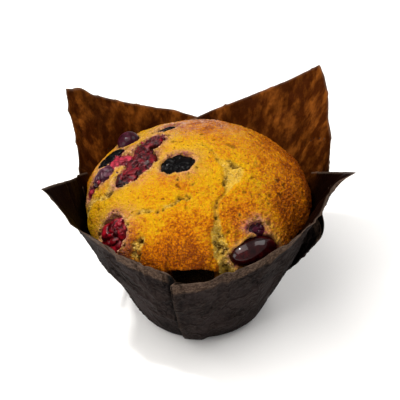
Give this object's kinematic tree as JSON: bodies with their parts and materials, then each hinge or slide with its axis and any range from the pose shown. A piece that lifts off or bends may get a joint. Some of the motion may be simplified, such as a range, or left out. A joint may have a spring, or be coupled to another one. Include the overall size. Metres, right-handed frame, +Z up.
{
  "type": "berry muffin",
  "caption": "Domed cake muffin with whole and burst berries in its top, baked in a folded square parchment wrap with four free corners.",
  "frame": {"origin": "centre of the flat paper base, on the surface it stands on", "axes": "+Z up through the muffin, -Y towards the front pleat, +X to the right"},
  "size_m": [0.1048, 0.0947, 0.0798],
  "materials": {
    "parchment": "matte brown greaseproof parchment, grease-stained inside",
    "crust": "golden brown baked crust",
    "berry_skin": "dark glossy berry skin",
    "berry_burst": "wet crimson burst berry"
  },
  "bodies": {
    "root": {"paper_case": "parchment", "muffin_body": "crust", "berry_round": "berry_skin", "berry_slot": "berry_skin", "berry_slit": "berry_skin", "berry_oval": "berry_skin", "berry_purple": "berry_skin", "berry_cluster_top": "berry_burst", "berry_cluster_mid": "berry_burst", "berry_cluster_low": "berry_burst", "berry_dark": "berry_burst", "berry_flesh": "berry_burst", "berry_edge": "berry_burst", "berry_burst": "berry_burst", "berry_small": "berry_burst"}
  },
  "joints": []
}
